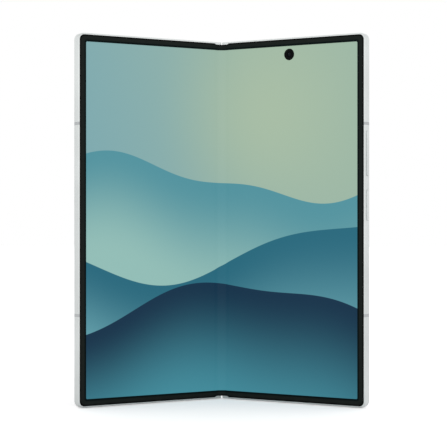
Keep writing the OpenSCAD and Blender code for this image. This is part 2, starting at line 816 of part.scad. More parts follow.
module usb_board() {
    color("seagreen") place(1)
        box([usb_u - usb_board_in, usb_u + usb_board_out], [v_cavity, v_cavity + board_t],
            [usb_z1 + hole_gap, battery_z0 - battery_gap]);
}

module loudspeaker() {
    color("dimgray") place(1)
        box([speaker_u(0) - speaker_before, speaker_u(n_speaker_holes - 1) + speaker_after],
            [v_cavity, v_panel - pack_gap], [wall + pack_gap, speaker_h]);
}

module vibration_motor() {
    u0 = speaker_u(0) + motor_shift;
    z0 = speaker_h + motor_gap;
    color("silver") place(1)
        box([u0, u0 + motor_w], [v_cavity, v_panel - pack_gap * 2], [z0, z0 + motor_h]);
}

module key_switches() {
    color("darkgray") place(1) for (key = [[volume_z, volume_len], [power_z, power_len]])
        box([switch_u0, switch_u1], [v_key - key_w / 2, v_key + key_w / 2],
            [key[0] - key[1] / 2 + switch_inset, key[0] + key[1] / 2 - switch_inset]);
}

// ---------- cover half ----------
module frame_cover() {
    color("gainsboro") place(-1) difference() {
        frame_half(-1);
        translate([sim_u, sim_v, body_h - wall - cut / 2]) linear_extrude(wall + cut)
            polygon(round_rect(sim_face_w + hole_gap * 2, sim_face_t + hole_gap * 2, sim_r + hole_gap));
        translate([earpiece_u, v_middle, body_h - wall - cut / 2])
            linear_extrude(wall + cut) polygon(stadium(earpiece_slot_w, earpiece_slot_h, arc_steps));
    }
}

module bezel_cover() {
    color([0.12, 0.13, 0.14]) place(-1) bezel_half();
}

module display_cover() {
    color([0.2, 0.42, 0.5]) place(-1) display_half();
}

module display_plate_cover() {
    color("slategray") place(-1) display_plate_half(-1);
}

module outer_glass() {
    color([0.1, 0.1, 0.11]) place(-1) back_cover(hole_gap);
}

module outer_display() {
    side = 2.2;
    color([0.15, 0.2, 0.24]) place(-1) difference() {
        plate([[beam_u + beam_w + pack_gap, side], [half_w - side, side], [half_w - side, body_h - side],
            [beam_u + beam_w + pack_gap, body_h - side]], v_panel, v_glass);
        bar(outer_cam_u, feature_z, outer_cam_r + hole_gap, 0, body_t);
    }
}

module hinge_brackets_cover() {
    color("silver") place(-1) bracket_half(-1);
}

module bracket_screws_cover() {
    color("gray") place(-1) bracket_screws_half(-1);
}

module antenna_lines_cover() {
    color("lightgray") place(-1) antenna_lines();
}

module magnets_cover() {
    color("gray") place(-1) magnets_half();
}

module outer_camera() {
    color([0.08, 0.08, 0.1]) place(-1)
        small_camera(outer_cam_u, outer_cam_r, v_glass - hole_gap, v_cavity, v_panel - pack_gap);
}

module sub_board() {
    half = camera_body / 2 + pack_gap;
    color("seagreen") place(-1) difference() {
        box([parts_u, half_w - sub_board_inset], [v_cavity, v_cavity + board_t],
            [board_low, body_h - wall - board_top_gap]);
        box([outer_cam_u - half, outer_cam_u + half], [0, body_t], [feature_z - half, feature_z + half]);
    }
}

module sim_reader() {
    half_w_in = sim_body_w / 2 + sim_gap;
    v0 = v_cavity + board_t;
    z1 = body_h - wall - 0.75;
    z0 = body_h - wall - sim_len - 1.2;
    color("silver") place(-1) difference() {
        box([sim_u - half_w_in - 0.6, sim_u + half_w_in + 0.6],
            [v0, sim_v + sim_t / 2 + sim_gap * 1.5], [z0, z1]);
        box([sim_u - half_w_in, sim_u + half_w_in],
            [sim_v - sim_t / 2 - sim_gap, sim_v + sim_t / 2 + sim_gap], [z0 + 0.8, z1 + cut]);
    }
}

module earpiece() {
    color("dimgray") place(-1)
        box([earpiece_u - earpiece_w / 2, earpiece_u + earpiece_w / 2],
            [v_cavity + board_t, v_panel - pack_gap], [body_h - earpiece_h, body_h - wall - pack_gap]);
}

module battery_cover() {
    color([0.2, 0.2, 0.22]) place(-1)
        box([parts_u, outer_wall_u - pack_gap - magnet_w - battery_clear], [v_cavity, v_cavity + battery_t],
            [battery_z0, battery_z0 + battery_h]);
}

// ---------- keys and tray ----------
module key_piece(z, len) {
    flange_w = key_w / 2 + key_flange;
    u0 = outer_wall_u - key_slack - key_flange_t / 2;
    translate([u0, v_key, z]) rotate([0, 90, 0]) linear_extrude(half_w + key_out - u0)
        polygon(round_rect(len, key_w, key_r));
    box([outer_wall_u - key_slack - key_flange_t, outer_wall_u - key_slack],
        [v_key - flange_w, v_key + flange_w], [z - len / 2 - key_flange, z + len / 2 + key_flange]);
}

module volume_key() {
    color("gainsboro") place(1) key_piece(volume_z, volume_len);
}

module power_key() {
    color("gainsboro") place(1) key_piece(power_z, power_len);
}

module sim_tray() {
    card = [8.9, 12.4];
    z1 = body_h - wall;
    color("gainsboro") place(-1) difference() {
        union() {
            translate([sim_u, sim_v, z1]) linear_extrude(wall)
                polygon(round_rect(sim_face_w, sim_face_t, sim_r));
            box([sim_u - sim_body_w / 2, sim_u + sim_body_w / 2],
                [sim_v - sim_t / 2, sim_v + sim_t / 2], [z1 - sim_len, z1 + bond]);
        }
        box([sim_u - card[0] / 2, sim_u + card[0] / 2], [0, body_t],
            [z1 - sim_len + 1, z1 - sim_len + 1 + card[1]]);
        translate([sim_u + sim_face_w / 2 - 0.9, sim_v, z1 - cut]) cylinder(r = 0.35, h = wall + cut * 2);
    }
}

hinge_cover();
hinge_housings();
housing_screws();
display_fold_zone();
bezel_fold_strips();
wing_plate_main();
wing_plate_cover();
frame_main();
bezel_main();
display_main();
display_plate_main();
back_glass();
hinge_brackets_main();
bracket_screws_main();
antenna_lines_main();
magnets_main();
camera_island();
lens_rings();
lens_glasses();
rear_cameras();
flash();
selfie_camera();
main_board();
chip_shields();
battery_main();
charging_coil();
usb_c_receptacle();
usb_board();
loudspeaker();
vibration_motor();
key_switches();
frame_cover();
bezel_cover();
display_cover();
display_plate_cover();
outer_glass();
outer_display();
hinge_brackets_cover();
bracket_screws_cover();
antenna_lines_cover();
magnets_cover();
outer_camera();
sub_board();
sim_reader();
earpiece();
battery_cover();
volume_key();
power_key();
sim_tray();
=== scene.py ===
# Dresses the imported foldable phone: rounded trims, the bending display, cameras,
# ports, procedural materials, studio light and the photograph's camera.
import json
import math

import bmesh
import bpy
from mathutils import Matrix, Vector, geometry

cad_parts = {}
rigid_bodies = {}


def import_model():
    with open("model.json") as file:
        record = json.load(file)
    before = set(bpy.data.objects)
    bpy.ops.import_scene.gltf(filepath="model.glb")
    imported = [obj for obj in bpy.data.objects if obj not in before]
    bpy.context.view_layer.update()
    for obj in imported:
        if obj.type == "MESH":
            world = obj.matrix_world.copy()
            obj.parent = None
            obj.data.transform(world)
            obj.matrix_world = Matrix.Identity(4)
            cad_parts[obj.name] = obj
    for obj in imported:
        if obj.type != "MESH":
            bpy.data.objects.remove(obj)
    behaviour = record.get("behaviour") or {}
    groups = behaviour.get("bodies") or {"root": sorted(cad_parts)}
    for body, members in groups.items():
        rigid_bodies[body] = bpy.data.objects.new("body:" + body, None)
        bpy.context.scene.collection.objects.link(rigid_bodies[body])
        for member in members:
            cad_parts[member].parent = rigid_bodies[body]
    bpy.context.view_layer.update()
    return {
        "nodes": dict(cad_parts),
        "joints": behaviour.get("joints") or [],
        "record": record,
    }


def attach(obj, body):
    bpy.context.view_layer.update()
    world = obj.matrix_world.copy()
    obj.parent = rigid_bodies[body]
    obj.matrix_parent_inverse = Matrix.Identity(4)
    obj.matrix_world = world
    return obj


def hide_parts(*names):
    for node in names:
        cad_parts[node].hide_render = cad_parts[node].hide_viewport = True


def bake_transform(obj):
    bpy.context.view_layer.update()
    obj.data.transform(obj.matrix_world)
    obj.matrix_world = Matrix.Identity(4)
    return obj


for leftover in list(bpy.data.objects):
    bpy.data.objects.remove(leftover)
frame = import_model()

MM = 0.001
JOINTS = {j["name"]: j for j in frame["joints"]}
FOLD = math.radians(-JOINTS["main_fold"]["range_deg"][0])
AXIS_U = JOINTS["main_fold"]["pos_m"][0] / MM
AXIS_V = 1.0
Y_SHIFT = JOINTS["main_fold"]["pos_m"][1] / MM - AXIS_V

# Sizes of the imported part, in mm, in the unfolded frame of one half:
# u from the fold line to the outer edge, v from the front face to the back, z up
HALF_W, BODY_H, BODY_T = 71.6, 158.4, 4.2
CORNER_R, WALL, LIP = 2.8, 1.1, 0.6
BEZEL_T, BEZEL_W, BEZEL_SIDE_W, LIT_R = 0.35, 3.55, 3.75, 0.6
DISPLAY_T, BEZEL_OPEN, STEP = 0.45, 3.2, WALL - LIP
STEP_RUN = 1.6  # length of the bezel's slope at the fold, for each mm of its step
STRIP_V, STRIP_T, STRIP_GAP = 0.05, 0.28, 0.02
FIT, PACK_GAP = 0.02, 0.1
V_GLASS, V_CAVITY, V_PANEL = 3.7, 1.65, 3.2
SELFIE_U, FEATURE_Z, SELFIE_R = 34.6, 151.2, 2.55
CAM_U, CAM_Z, CAM_PITCH, CAM_R, CAM_RING_W = 61.5, 147.2, 12.3, 5.5, 0.9
CAM_BODY, LENS_V, FLASH_U = 10.4, 5.25, 51.6
OUTER_CAM_U, OUTER_CAM_R = 40.0, 1.8
GLASS_RIM, GLASS_GAP, LIP_END = 0.55, 0.05, 2.6
USB_U, USB_V = 35.8, 2.3
CAMERA_BODY = 6.4
BEND_END = 4.0
BEND_ROUNDS = 60  # rounds that settle where a point of the bending zone lies

# The photograph's camera, solved from its perspective: pixels, and metres from the fold line
IMAGE_PX, FOCAL_PX, SHIFT_PX, CAMERA_AWAY = 447, 1571.5, (1.75, -3.2), 0.6992
SENSOR_MM = 36.0


# ---------- places ----------
def rest(u, v, z, side=1, turn=1.0):
    """A point of the unfolded half, folded by a share of the rest angle, in metres."""
    c, s = math.cos(FOLD * turn), math.sin(FOLD * turn)
    x = AXIS_U + (u - AXIS_U) * c + (v - AXIS_V) * s
    y = AXIS_V - (u - AXIS_U) * s + (v - AXIS_V) * c + Y_SHIFT
    return (side * x * MM, y * MM, z * MM)


def smoothstep(t):
    t = min(max(t, 0.0), 1.0)
    return t * t * (3 - 2 * t)


BEND_X = rest(BEND_END, BEZEL_T + DISPLAY_T / 2, 0)[0]


def bent(u, v, z, side):
    turn = 0.5
    for _ in range(BEND_ROUNDS):
        x = rest(u, v, z, 1, turn)[0]
        turn = 0.5 * turn + 0.5 * smoothstep(x / BEND_X)
    return rest(u, v, z, side, turn)


# ---------- meshes ----------
class Shape:
    """Points and faces gathered before they become one closed mesh."""

    def __init__(self):
        self.points, self.faces, self.uvs = [], [], []

    def vertex(self, point, uv):
        """A point with its place in the flat layout; gives the point's number."""
        self.points.append(point)
        self.uvs.append(uv)
        return len(self.points) - 1

    def band(self, a, b):
        """Quads between two closed loops of point numbers."""
        for i in range(len(a)):
            j = (i + 1) % len(a)
            self.faces.append((a[i], a[j], b[j], b[i]))

    def fill(self, loops, across=1, along=1):
        """Triangles between an outline and its holes, worked out in the flat layout."""
        order = [i for loop in loops for i in loop]
        polygons = [[Vector((self.uvs[i][0] * across, self.uvs[i][1] * along, 0)) for i in loop]
                    for loop in loops]
        for tri in geometry.tessellate_polygon(polygons):
            self.faces.append(tuple(order[k] for k in tri))

    def rings(self, rings):
        """Quads between closed rings of equal length; the first and last ring are capped."""
        n = len(rings[0])
        start = len(self.points)
        for ring in rings:
            self.points += ring
        for r in range(len(rings) - 1):
            for i in range(n):
                a, b = start + r * n + i, start + r * n + (i + 1) % n
                self.faces.append((a, b, b + n, a + n))
        self.faces.append(tuple(start + i for i in range(n)))
        last = start + (len(rings) - 1) * n
        self.faces.append(tuple(last + i for i in range(n)))

    def lathe(self, u, z, profile, side=1, steps=48):
        """A profile of (radius, v) turned about the line along v through (u, z)."""
        angles = [math.tau * k / steps for k in range(steps)]
        self.rings([[rest(u + r * math.cos(a), v, z + r * math.sin(a), side) for a in angles]
                    for r, v in profile])

    def box(self, u, v, z, side=1):
        start = len(self.points)
        self.points += [rest(a, b, c, side) for a in u for b in v for c in z]
        for corners in ((0, 1, 3, 2), (4, 6, 7, 5), (0, 4, 5, 1),
                        (2, 3, 7, 6), (0, 2, 6, 4), (1, 5, 7, 3)):
            self.faces.append(tuple(start + i for i in corners))

    def make(self, name, sharp=30):
        """The object: outward normals, smooth but for edges above the angle in degrees."""
        mesh = bpy.data.meshes.new(name)
        mesh.from_pydata([Vector(p) for p in self.points], [], self.faces)
        mesh.update()
        if self.uvs:
            layer = mesh.uv_layers.new(name="flat")
            for loop in mesh.loops:
                layer.data[loop.index].uv = self.uvs[loop.vertex_index]
        bm = bmesh.new()
        bm.from_mesh(mesh)
        bmesh.ops.recalc_face_normals(bm, faces=bm.faces)
        bm.to_mesh(mesh)
        bm.free()
        mesh.shade_smooth()
        mesh.set_sharp_from_angle(angle=math.radians(sharp))
        obj = bpy.data.objects.new(name, mesh)
        bpy.context.scene.collection.objects.link(obj)
        return obj


def arc(cx, cz, r, a0, a1, n):
    """Points on an arc between two angles in degrees."""
    angles = [math.radians(a0 + (a1 - a0) * i / n) for i in range(n + 1)]
    return [(cx + r * math.cos(a), cz + r * math.sin(a)) for a in angles]


def circle_of(cx, cz, r, n):
    """n points on a whole circle."""
    return arc(cx, cz, r, 0, 360 * (n - 1) / n, n - 1)


def quarter_turns(n, whole=False):
    """Angles that cut a right angle in n, its end kept where whole."""
    return [math.pi / 2 * k / n for k in range(n + 1 if whole else n)]


def half_outline(inset, side_inset, u0, radius, n=10, step=0.0):
    """Outline of a half in u and z, open at u0, with rounded outer corners."""
    slope_end = u0 + step * STEP_RUN
    lead = [(u0, inset + step), (slope_end, inset)]
    top = [(slope_end, BODY_H - inset), (u0, BODY_H - inset - step)]
    near = HALF_W - side_inset - radius
    return (lead + arc(near, inset + radius, radius, -90, 0, n)
            + arc(near, BODY_H - inset - radius, radius, 0, 90, n) + top)


def rounded_section(r_out, r_in, n=4):
    """Stations across a trim: (edge, distance from that edge, depth), edge 0 outer, 1 inner."""
    quarter = quarter_turns(n, whole=True)
    outer = [(0, r_out * (1 - math.cos(a)), r_out * (1 - math.sin(a))) for a in quarter]
    inner = [(1, r_in * (1 - math.cos(a)), r_in * (1 - math.sin(a))) for a in reversed(quarter)]
    return [(0, 0.0, BEZEL_T)] + outer + inner + [(1, 0.0, BEZEL_T)]


# ---------- materials ----------
def srgb(r, g, b):
    """The linear colour that shows as these 8-bit values."""
    def linear(c):
        c /= 255
        return c / 12.92 if c <= 0.04045 else ((c + 0.055) / 1.055) ** 2.4
    return (linear(r), linear(g), linear(b), 1.0)


class Tree:
    """Short calls for building shader nodes."""

    def __init__(self, tree):
        self.tree = tree

    def new(self, kind, **settings):
        node = self.tree.nodes.new(kind)
        for key, value in settings.items():
            setattr(node, key, value)
        return node

    def put(self, socket, value):
        if isinstance(value, bpy.types.NodeSocket):
            self.tree.links.new(value, socket)
        else:
            socket.default_value = value

    def fed(self, node, *values):
        for socket, value in zip(node.inputs, values):
            self.put(socket, value)
        return node.outputs[0]

    def math(self, operation, a, b=0.0, c=0.0):
        return self.fed(self.new("ShaderNodeMath", operation=operation), a, b, c)

    def ramp(self, value, low, high, to_low=0.0, to_high=1.0):
        """A value taken in a straight line from one range to another, and held at its ends."""
        return self.fed(self.new("ShaderNodeMapRange"), value, low, high, to_low, to_high)

    def span(self, value, low, high, to_low=0.0, to_high=1.0):
        """The same, eased at both ends."""
        node = self.new("ShaderNodeMapRange", interpolation_type="SMOOTHSTEP")
        return self.fed(node, value, low, high, to_low, to_high)


class Graph(Tree):
    """A node material about its Principled shader."""

    def __init__(self, name):
        self.material = bpy.data.materials.new(name)
        self.material.use_nodes = True
        super().__init__(self.material.node_tree)
        self.shader = self.tree.nodes["Principled BSDF"]

    def set(self, **values):
        """Constants and links on the Principled shader, by socket name."""
        for key, value in values.items():
            self.put(self.shader.inputs[key.replace("_", " ")], value)

    def mix(self, factor, a, b, blend="MIX"):
        node = self.new("ShaderNodeMix", data_type="RGBA", blend_type=blend)
        self.put(node.inputs[0], factor)
        self.put(node.inputs[6], a)
        self.put(node.inputs[7], b)
        return node.outputs[2]

    def place(self):
        """The point on the object, in metres."""
        return self.new("ShaderNodeTexCoord").outputs["Object"]

    def flat(self):
        """x and y of the flat layout that this script gives its own pieces."""
        parts = self.new("ShaderNodeSeparateXYZ")
        self.put(parts.inputs[0], self.new("ShaderNodeUVMap", uv_map="flat").outputs[0])
        return parts.outputs[0], parts.outputs[1]

    def facing(self, blend):
        """0 where the surface faces the viewer, 1 where it turns away, for sheen."""
        node = self.new("ShaderNodeLayerWeight")
        node.inputs["Blend"].default_value = blend
        return node.outputs["Facing"]

    def stretched(self, scale):
        node = self.new("ShaderNodeMapping")
        self.put(node.inputs["Vector"], self.place())
        node.inputs["Scale"].default_value = scale
        return node.outputs[0]

    def noise(self, scale, detail=3.0, rough=0.5, at=None):
        node = self.new("ShaderNodeTexNoise")
        self.put(node.inputs["Vector"], at or self.place())
        node.inputs["Scale"].default_value = scale
        node.inputs["Detail"].default_value = detail
        node.inputs["Roughness"].default_value = rough
        return node.outputs["Fac"]

    def bump(self, height, strength, distance):
        node = self.new("ShaderNodeBump")
        node.inputs["Strength"].default_value = strength
        node.inputs["Distance"].default_value = distance
        self.put(node.inputs["Height"], height)
        self.put(self.shader.inputs["Normal"], node.outputs[0])

    def grain(self, scale, rough, bump, depth, at=None):
        """Fine grain in roughness and bump."""
        fine = self.noise(scale, 2.0, 0.6, at)
        self.set(Roughness=self.span(fine, 0.25, 0.75, *rough))
        self.bump(fine, bump, depth)


def grained(name, colour, tint, rough, metal=0.0, grain=9000.0, bump=0.2, depth=4e-6,
            cloud=60.0, at_scale=None, specular=0.5):
    """A base finish: fine grain in bump and roughness, slow drift in colour."""
    g = Graph(name)
    g.grain(grain, rough, bump, depth, g.stretched(at_scale) if at_scale else None)
    g.set(Base_Color=g.mix(g.span(g.noise(cloud), 0.3, 0.7), colour, tint),
          Metallic=metal, Specular_IOR_Level=specular)
    return g


def satin_metal():
    """Bead-blasted, anodised aluminium: a fine sparkle and a slow drift in tone."""
    g = grained("satin_metal", srgb(213, 217, 216), srgb(222, 226, 225), (0.27, 0.38), 1.0,
                grain=14000.0, bump=0.25, depth=3e-6, cloud=45.0)
    return g.material


def brushed(name, colour, tint, rough, scale=(1.0, 1.0, 14.0)):
    """Worked steel: its grain is squeezed along z, into fine lines across the phone."""
    return grained(name, colour, tint, rough, 1.0, grain=5000.0, bump=0.3, depth=4e-6,
                   at_scale=scale).material


def black_trim():
    """Soft moulded trim: a faint pebble, with light and shade painted across its raised profile: a
    slightly paler crown, near-black edges as painted shade, and the display's glow painted teal
    along the inner edge.
    """
    g = Graph("black_trim")
    g.grain(7000.0, (0.42, 0.58), 0.35, 6e-6)
    x, _ = g.flat()  # 0 at the trim's outer edge, 1 at the display
    # Painted light on the trim's crown, fading to painted shade towards both edges
    painted_lit_crown = g.math("MULTIPLY", g.span(x, 0.12, 0.28), g.span(x, 0.82, 0.64))
    worn = g.span(g.noise(260.0, 4.0, 0.6), 0.35, 0.75, 0.85, 1.0)
    # Painted shade at the outer edge, with the display's glow painted teal on the inner edge
    painted_edge_shade_and_glow = g.mix(g.span(x, 0.4, 0.7), srgb(3, 4, 3), srgb(2, 13, 14))
    g.set(Base_Color=g.mix(g.math("MULTIPLY", painted_lit_crown, worn), painted_edge_shade_and_glow, srgb(27, 32, 30)),
          Specular_IOR_Level=0.05)
    return g.material


def back_glass():
    """Frosted glass over a pale silver layer: soft gloss with a fine etched grain."""
    g = grained("back_glass", srgb(205, 208, 209), srgb(213, 216, 216), (0.26, 0.36),
                grain=18000.0, bump=0.12, depth=2e-6, cloud=22.0)
    g.set(Coat_Weight=0.25, Coat_Roughness=0.12)
    return g.material


def lens_coating():
    """The coated front element of a camera: its sheen shifts to blue towards the rim."""
    g = Graph("lens_dome")
    tone = g.mix(g.facing(0.35), srgb(9, 12, 26), srgb(44, 74, 118))
    g.set(Base_Color=tone, Roughness=g.span(g.noise(900.0, 2.0), 0.3, 0.7, 0.02, 0.06),
          Coat_Weight=1.0, Coat_Roughness=0.02, Specular_IOR_Level=0.6)
    return g.material


def clear_lens():
    """The flat front glass of a rear camera: clear, its low index standing for the
    anti-glare coating, with a faint tint."""
    g = Graph("lens_glass")
    g.set(Base_Color=g.mix(g.noise(300.0, 2.0), srgb(214, 222, 232), srgb(224, 230, 238)),
          Roughness=0.02, IOR=1.2, Transmission_Weight=1.0)
    return g.material


def deep_dome():
    """The small front element deep in its hole: near black with a dull blue sheen."""
    g = Graph("deep_dome")
    g.set(Base_Color=g.mix(g.facing(0.3), srgb(4, 5, 9), srgb(14, 20, 30)),
          Roughness=g.span(g.noise(900.0, 2.0), 0.3, 0.7, 0.08, 0.14), Specular_IOR_Level=0.1)
    return g.material


# The wallpaper: three soft dunes with crisp crests under a hazy sky, in x and y from 0 to 1
SKY_LEFT, SKY_RIGHT, HAZE = srgb(128, 172, 178), srgb(160, 186, 168), srgb(174, 194, 168)
HAZE_AT, HAZE_REACH = (0.66, 0.80), 0.42
CREST_SOFT = 0.0006
REFLECTED, GLOW = 0.15, 0.83  # shares of the picture that the display reflects and emits
DUNES = [  # crest height, its two waves (size, count, phase), fade, crest and foot colours
    (0.615, (0.055, 0.72, 1.1), (0.018, 1.9, 0.4), 0.27, srgb(86, 150, 162), srgb(150, 193, 186)),
    (0.425, (0.085, 0.60, 3.7), (0.020, 1.4, 2.0), 0.30, srgb(44, 108, 128), srgb(112, 174, 184)),
    (0.235, (0.090, 0.55, 5.9), (0.016, 1.7, 4.1), 0.30, srgb(25, 54, 77), srgb(72, 146, 162)),
]


def crest(g, x, height, waves):
    """The height of a dune's crest at x: a level and its sine waves."""
    total = height
    for size, count, phase in waves:
        angle = g.math("MULTIPLY_ADD", x, count * math.tau, phase)
        total = g.math("MULTIPLY_ADD", g.math("SINE", angle), size, total)
    return total


def wallpaper(g):
    x, y = g.flat()
    across = g.math("MULTIPLY_ADD", y, 0.3, x)
    colour = g.mix(g.span(across, 0.1, 1.15), SKY_LEFT, SKY_RIGHT)
    dx, dy = g.math("SUBTRACT", x, HAZE_AT[0]), g.math("SUBTRACT", y, HAZE_AT[1])
    away = g.math("SQRT", g.math("ADD", g.math("MULTIPLY", dx, dx), g.math("MULTIPLY", dy, dy)))
    colour = g.mix(g.span(away, HAZE_REACH, 0.0, 0.0, 0.8), colour, HAZE)
    for height, wave_a, wave_b, fade, top, foot in DUNES:
        below = g.math("SUBTRACT", crest(g, x, height, (wave_a, wave_b)), y)
        drift = g.math("MULTIPLY_ADD", x, 0.12, fade)
        body = g.mix(g.span(g.math("DIVIDE", below, drift), 0.0, 1.0), top, foot)
        colour = g.mix(g.span(below, -CREST_SOFT, CREST_SOFT), colour, body)
    return colour


AREA_SOFT = 0.0008
LIT_MARGIN = 1.0  # how far the inner display's picture runs on under the trim


def inside_area(g, area):
    """1 within an area of the flat map, given by its two ends each way, and 0 outside it."""
    inside = None
    for along, (low, high) in zip(g.flat(), area):
        for edge, soft in ((low, AREA_SOFT), (high, -AREA_SOFT)):
            gate = g.span(along, edge - soft, edge + soft)
            inside = gate if inside is None else g.math("MULTIPLY", inside, gate)
    return inside


def lit_display():
    """The wallpaper, part reflected and part glowing, under a smooth protective film. It
    ends under the trim, so that the sheet's cut edge stays dark."""
    g = Graph("inner_display")
    ends = ((BEZEL_SIDE_W - LIT_MARGIN) / (HALF_W * 2), (BEZEL_W - LIT_MARGIN) / BODY_H)
    lit = inside_area(g, [(end, 1 - end) for end in ends])
    picture = g.mix(lit, (0.0, 0.0, 0.0, 1.0), wallpaper(g))
    film = g.noise(700.0, 2.0)
    share = (REFLECTED, REFLECTED, REFLECTED, 1.0)
    g.set(Base_Color=g.mix(1.0, picture, share, "MULTIPLY"),
          Emission_Color=picture, Emission_Strength=GLOW,
          Roughness=g.span(film, 0.3, 0.7, 0.32, 0.38), Specular_IOR_Level=0.05)
    return g.material


OUTER_AREA = ((0.045, 0.972), (0.014, 0.986))  # the outer display's part of its glass


def outer_glass():
    """Dark glass over a display that is off: its lit area is a shade bluer than its border."""
    g = Graph("outer_glass")
    smudge = g.noise(35.0, 4.0, 0.6)
    g.set(Base_Color=g.mix(inside_area(g, OUTER_AREA), srgb(10, 10, 11), srgb(19, 22, 25)),
          Roughness=g.span(smudge, 0.35, 0.7, 0.03, 0.09), Specular_IOR_Level=0.28)
    return g.material


RING_SCALE = 1.0 / (0.00022 * 20)  # a ring each 2 pi x 0.22 mm, at the texture's 20 radians a unit


def flash_lens():
    """A moulded lens with soft rings about its middle."""
    g = Graph("flash_lens")
    middle = rest(FLASH_U, BODY_T, CAM_Z)
    wave = g.new("ShaderNodeTexWave", wave_type="RINGS", rings_direction="SPHERICAL")
    shift = g.new("ShaderNodeMapping", vector_type="POINT")
    shift.inputs["Location"].default_value = tuple(-c for c in middle)
    g.put(shift.inputs["Vector"], g.place())
    g.put(wave.inputs["Vector"], shift.outputs[0])
    wave.inputs["Scale"].default_value = RING_SCALE
    rings = wave.outputs["Fac"]
    g.set(Base_Color=g.mix(rings, srgb(244, 236, 208), srgb(250, 246, 230)), Roughness=0.18,
          Coat_Weight=1.0, Coat_Roughness=0.03)
    g.bump(rings, 0.5, 3e-5)
    return g.material


def circuit_board():
    """Solder mask with tracks and pads."""
    g = Graph("board")
    brick = g.new("ShaderNodeTexBrick")
    g.put(brick.inputs["Vector"], g.place())
    brick.inputs["Scale"].default_value = 420.0
    brick.inputs["Mortar Size"].default_value = 0.03
    brick.inputs["Color1"].default_value = srgb(24, 84, 60)
    brick.inputs["Color2"].default_value = srgb(30, 98, 70)
    brick.inputs["Mortar"].default_value = srgb(70, 132, 92)
    g.set(Base_Color=brick.outputs["Color"], Roughness=0.38)
    g.bump(brick.outputs["Fac"], 0.3, 2e-5)
    return g.material


def wound_copper():
    """Flat wound wire: fine rings in tone and bump."""
    g = Graph("copper")
    wave = g.new("ShaderNodeTexWave", wave_type="RINGS", rings_direction="SPHERICAL")
    g.put(wave.inputs["Vector"], g.place())
    wave.inputs["Scale"].default_value = 120.0
    g.set(Base_Color=g.mix(wave.outputs["Fac"], srgb(196, 120, 78), srgb(150, 84, 50)),
          Roughness=0.35, Metallic=1.0)
    g.bump(wave.outputs["Fac"], 0.4, 5e-5)
    return g.material


BRUSHED = {  # colour, tint, roughness
    "hinge_steel": (srgb(150, 152, 156), srgb(168, 170, 172), (0.25, 0.42)),
    "screw_steel": (srgb(176, 176, 180), srgb(190, 190, 192), (0.2, 0.34)),
    "inner_steel": (srgb(188, 190, 193), srgb(200, 201, 203), (0.24, 0.36)),
    "support_plate": (srgb(88, 92, 98), srgb(104, 107, 112), (0.3, 0.45)),
    "port_steel": (srgb(170, 171, 175), srgb(184, 185, 188), (0.2, 0.32)),
    "magnet": (srgb(140, 140, 144), srgb(152, 152, 156), (0.22, 0.3)),
    "gold": (srgb(222, 184, 110), srgb(232, 196, 124), (0.2, 0.3)),
}


def make_materials():
    metals = {name: brushed(name, *values) for name, values in BRUSHED.items()}
    return metals | {
        "satin_metal": satin_metal(),
        "lens_ring": brushed("lens_ring", srgb(206, 208, 211), srgb(220, 221, 223), (0.14, 0.24),
                             (1.0, 1.0, 1.0)),
        "inner_display": lit_display(),
        "black_trim": black_trim(),
        "back_glass": back_glass(),
        "outer_glass": outer_glass(),
        "antenna_plastic": grained("antenna_plastic", srgb(176, 179, 181), srgb(184, 187, 188),
                                   (0.45, 0.6), grain=12000.0).material,
        "lens_glass": clear_lens(),
        "lens_dome": lens_coating(),
        "camera_black": grained("camera_black", srgb(20, 20, 22), srgb(27, 27, 29), (0.35, 0.5),
                                grain=6000.0).material,
        "hole_black": grained("hole_black", srgb(6, 7, 7), srgb(9, 10, 10), (0.4, 0.55),
                              grain=6000.0, specular=0.05).material,
        "deep_dome": deep_dome(),
        "flash_lens": flash_lens(),
        "board": circuit_board(),
        "battery": grained("battery", srgb(46, 47, 50), srgb(56, 57, 60), (0.4, 0.6),
                           grain=2500.0, bump=0.4, depth=2e-5).material,
        "copper": wound_copper(),
        "module_plastic": grained("module_plastic", srgb(48, 48, 51), srgb(58, 58, 60),
                                  (0.45, 0.6), grain=5000.0).material,
        "outer_display": grained("outer_display", srgb(30, 34, 38), srgb(36, 40, 44),
                                 (0.2, 0.3), grain=9000.0).material,
        "mesh_cloth": grained("mesh_cloth", srgb(26, 26, 28), srgb(40, 40, 43), (0.6, 0.8),
                              grain=3000.0, bump=0.8, depth=3e-5).material,
    }


MATERIALS = make_materials()


def paint(obj, name):
    obj.data.materials.clear()
    obj.data.materials.append(MATERIALS[name])


def finish(obj, name, body, *replaced, slot=None):
    """Material, body and the CAD nodes that a new piece stands for; its slot is not used."""
    paint(obj, name)
    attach(obj, body)
    if replaced:
        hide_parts(*replaced)


# ---------- CAD nodes that are shown ----------
WELD_DISTANCE, SHADE_SHARP, BEVEL_SHARP, FLAT_ANGLE = 2e-6, 28, 40, 0.5
ROUNDED = {  # bevel widths in mm on the CAD nodes whose sharp edges show
    "volume_key": 0.14, "power_key": 0.14, "sim_tray": 0.1, "camera_island": 0.28,
    "lens_rings": 0.12, "back_glass": 0.16, "hinge_cover": 0.08, "lens_glasses": 0.06,
}


def node_group(name, build):
    group = bpy.data.node_groups.new(name, "GeometryNodeTree")
    group.interface.new_socket("Geometry", in_out="INPUT", socket_type="NodeSocketGeometry")
    group.interface.new_socket("Geometry", in_out="OUTPUT", socket_type="NodeSocketGeometry")
    first, last = group.nodes.new("NodeGroupInput"), group.nodes.new("NodeGroupOutput")
    group.links.new(build(group, first.outputs[0]), last.inputs[0])
    return group


def build_weld(group, mesh):
    """Seams of the CAD mesh closed, and its own normals dropped."""
    drop = group.nodes.new("GeometryNodeRemoveAttribute")
    drop.inputs["Name"].default_value = "custom_normal"
    merge = group.nodes.new("GeometryNodeMergeByDistance")
    merge.inputs["Distance"].default_value = WELD_DISTANCE
    group.links.new(mesh, drop.inputs["Geometry"])
    group.links.new(drop.outputs["Geometry"], merge.inputs["Geometry"])
    return merge.outputs["Geometry"]


